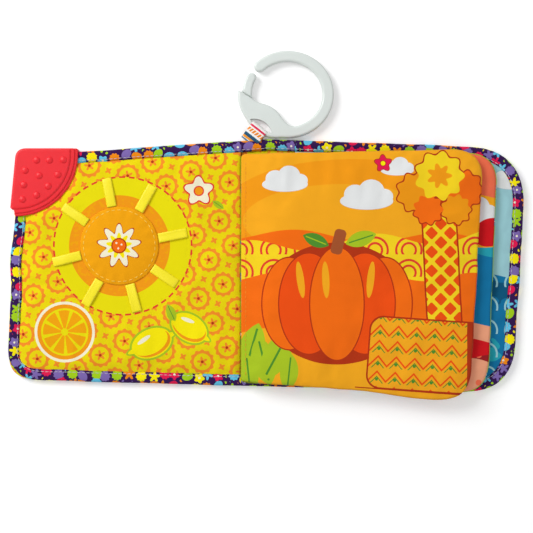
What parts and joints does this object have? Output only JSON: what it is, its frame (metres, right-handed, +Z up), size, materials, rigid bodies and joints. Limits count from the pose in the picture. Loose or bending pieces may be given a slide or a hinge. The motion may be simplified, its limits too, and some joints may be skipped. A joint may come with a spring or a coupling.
{
  "type": "cloth book",
  "caption": "Soft padded cloth book with turning leaves, a corner teether, a ribbon-tag patch and a clip ring.",
  "frame": {"origin": "on the spine's middle, on the plane that the open book lies on", "axes": "+X across the open spread to the back cover, +Y up the page to the clip ring, +Z up from the table"},
  "size_m": [0.3747, 0.2494, 0.0182],
  "materials": {
    "cover_print": "woven polyester",
    "leaf_orange": "woven polyester",
    "leaf_coral": "woven polyester",
    "leaf_red": "woven polyester",
    "leaf_lime": "woven polyester",
    "sea_print": "woven polyester",
    "purple_cloth": "woven polyester",
    "wadding": "lofted polyester",
    "crinkle_film": "thin film",
    "satin_ribbon": "satin",
    "patch_cloth": "short pile",
    "silicone": "satin",
    "clip_plastic": "satin"
  },
  "bodies": {
    "back_cover": {"back_outer_cloth": "purple_cloth", "back_pad": "wadding", "back_inner_cloth": "sea_print", "back_binding": "purple_cloth", "spine_outer_cloth": "purple_cloth", "spine_inner_cloth": "purple_cloth", "spine_binding_top": "purple_cloth", "spine_binding_bottom": "purple_cloth"},
    "front_cover": {"front_outer_cloth": "purple_cloth", "front_pad": "wadding", "front_crinkle_film": "crinkle_film", "front_inner_cloth": "cover_print", "front_binding": "purple_cloth", "corner_teether": "silicone", "round_patch": "patch_cloth", "round_patch_wadding": "wadding"},
    "leaf_2": {"leaf_2_front_cloth": "leaf_coral", "leaf_2_crinkle_film": "crinkle_film", "leaf_2_wadding": "wadding", "leaf_2_back_cloth": "leaf_lime", "leaf_2_root": "leaf_coral"},
    "leaf_1": {"leaf_1_front_cloth": "leaf_orange", "leaf_1_crinkle_film": "crinkle_film", "leaf_1_wadding": "wadding", "leaf_1_back_cloth": "leaf_red", "leaf_1_root": "leaf_orange"},
    "tag_1": {"ribbon_tag_1": "satin_ribbon"},
    "tag_2": {"ribbon_tag_2": "satin_ribbon"},
    "tag_3": {"ribbon_tag_3": "satin_ribbon"},
    "tag_4": {"ribbon_tag_4": "satin_ribbon"},
    "tag_5": {"ribbon_tag_5": "satin_ribbon"},
    "tag_6": {"ribbon_tag_6": "satin_ribbon"},
    "tag_7": {"ribbon_tag_7": "satin_ribbon"},
    "tag_8": {"ribbon_tag_8": "satin_ribbon"},
    "ribbon": {"hanging_ribbon": "satin_ribbon"},
    "ring": {"clip_ring": "clip_plastic"},
    "gate": {"clip_gate": "clip_plastic"}
  },
  "joints": [
    {"name": "front_cover_fold", "type": "hinge", "parent": "back_cover", "child": "front_cover", "pos_m": [0, 0, 0.0155], "axis": [0, 1, 0], "range_deg": [0, 180], "deforming": ["spine_outer_cloth", "spine_inner_cloth", "spine_binding_top", "spine_binding_bottom"]},
    {"name": "leaf_2_turn", "type": "hinge", "parent": "back_cover", "child": "leaf_2", "pos_m": [0, 0, 0.0155], "axis": [0, 1, 0], "range_deg": [-180, 0], "deforming": ["leaf_2_root"]},
    {"name": "leaf_1_turn", "type": "hinge", "parent": "leaf_2", "child": "leaf_1", "pos_m": [0, 0, 0.0155], "axis": [0, 1, 0], "range_deg": [-180, 0], "deforming": ["leaf_1_root"]},
    {"name": "tag_1_fold", "type": "hinge", "parent": "front_cover", "child": "tag_1", "pos_m": [-0.11293, 0.04087, 0.0076], "axis": [-0.9816, -0.1908, 0], "range_deg": [-160, 0]},
    {"name": "tag_2_fold", "type": "hinge", "parent": "front_cover", "child": "tag_2", "pos_m": [-0.09334, 0.03776, 0.0076], "axis": [-0.8746, 0.4848, 0], "range_deg": [-160, 0]},
    {"name": "tag_3_fold", "type": "hinge", "parent": "front_cover", "child": "tag_3", "pos_m": [-0.07893, 0.01793, 0.0076], "axis": [-0.1908, 0.9816, 0], "range_deg": [-160, 0]},
    {"name": "tag_4_fold", "type": "hinge", "parent": "front_cover", "child": "tag_4", "pos_m": [-0.08336, -0.00382, 0.0076], "axis": [0.5592, 0.829, 0], "range_deg": [-160, 0]},
    {"name": "tag_5_fold", "type": "hinge", "parent": "front_cover", "child": "tag_5", "pos_m": [-0.09989, -0.01561, 0.0076], "axis": [0.9659, 0.2588, 0], "range_deg": [-160, 0]},
    {"name": "tag_6_fold", "type": "hinge", "parent": "front_cover", "child": "tag_6", "pos_m": [-0.1219, -0.01272, 0.0076], "axis": [0.866, -0.5, 0], "range_deg": [-160, 0]},
    {"name": "tag_7_fold", "type": "hinge", "parent": "front_cover", "child": "tag_7", "pos_m": [-0.13554, 0.00538, 0.0076], "axis": [0.2419, -0.9703, 0], "range_deg": [-160, 0]},
    {"name": "tag_8_fold", "type": "hinge", "parent": "front_cover", "child": "tag_8", "pos_m": [-0.13115, 0.02903, 0.0076], "axis": [-0.5736, -0.8192, 0], "range_deg": [-160, 0]},
    {"name": "ribbon_swing", "type": "hinge", "parent": "front_cover", "child": "ribbon", "pos_m": [-0.0125, 0.0901, 0.0065], "axis": [-1, 0, 0], "range_deg": [-90, 0]},
    {"name": "ring_turn", "type": "hinge", "parent": "ribbon", "child": "ring", "pos_m": [-0.0078, 0.0957, 0.0032], "axis": [0, 0, 1], "range_deg": [0, 12], "deforming": ["hanging_ribbon"]},
    {"name": "gate_flex", "type": "hinge", "parent": "ring", "child": "gate", "pos_m": [-0.0112, 0.1194, 0.0032], "axis": [0, 0, -1], "range_deg": [0, 14], "stiffness_Nm_per_rad": 0.01}
  ]
}
